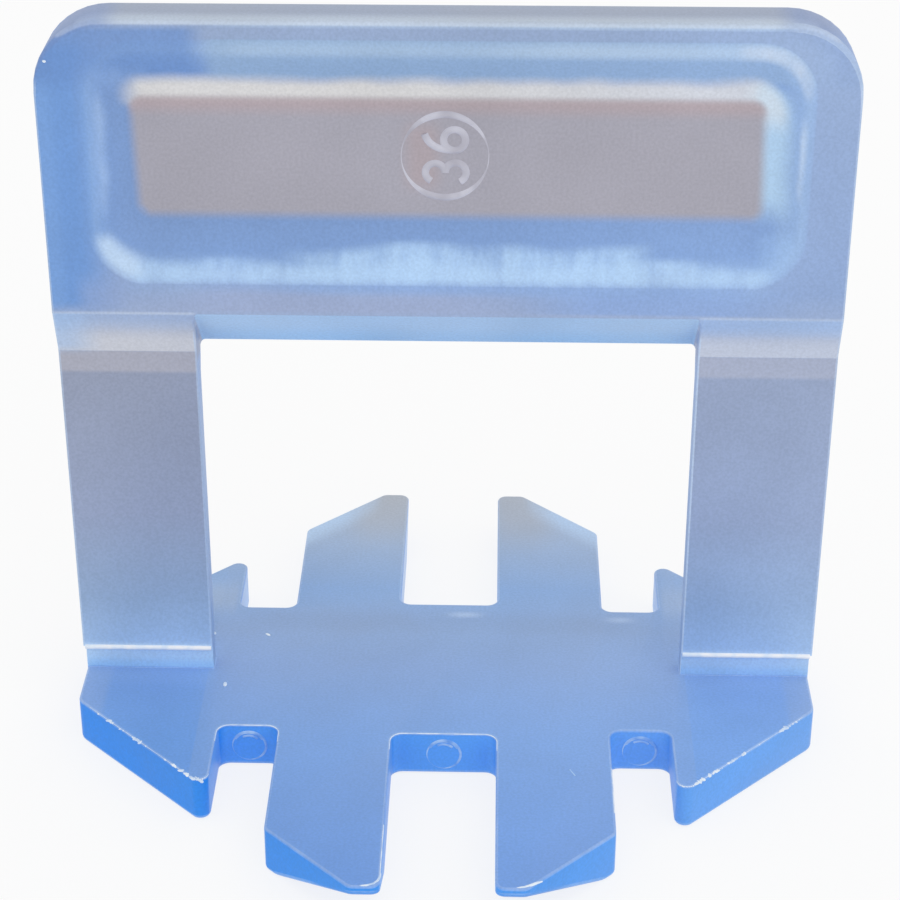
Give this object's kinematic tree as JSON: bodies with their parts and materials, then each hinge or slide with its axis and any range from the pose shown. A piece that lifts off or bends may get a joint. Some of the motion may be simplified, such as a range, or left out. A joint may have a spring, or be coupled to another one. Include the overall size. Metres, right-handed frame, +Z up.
{
  "type": "tile levelling clip",
  "caption": "Moulded tile levelling clip: a fingered foot plate for the tile edges, flat snap-off legs that stand in the joint, and a pocketed bridge over a wedge window.",
  "frame": {"origin": "centre of the foot plate's underside", "axes": "+Z up the legs to the bridge, X along the tile joint and across the window, Y across the joint, with the pictured face towards -Y"},
  "size_m": [0.0446, 0.043, 0.0445],
  "materials": {
    "clip": "satin, milky translucent"
  },
  "bodies": {
    "root": {"clip": "clip"}
  },
  "joints": []
}
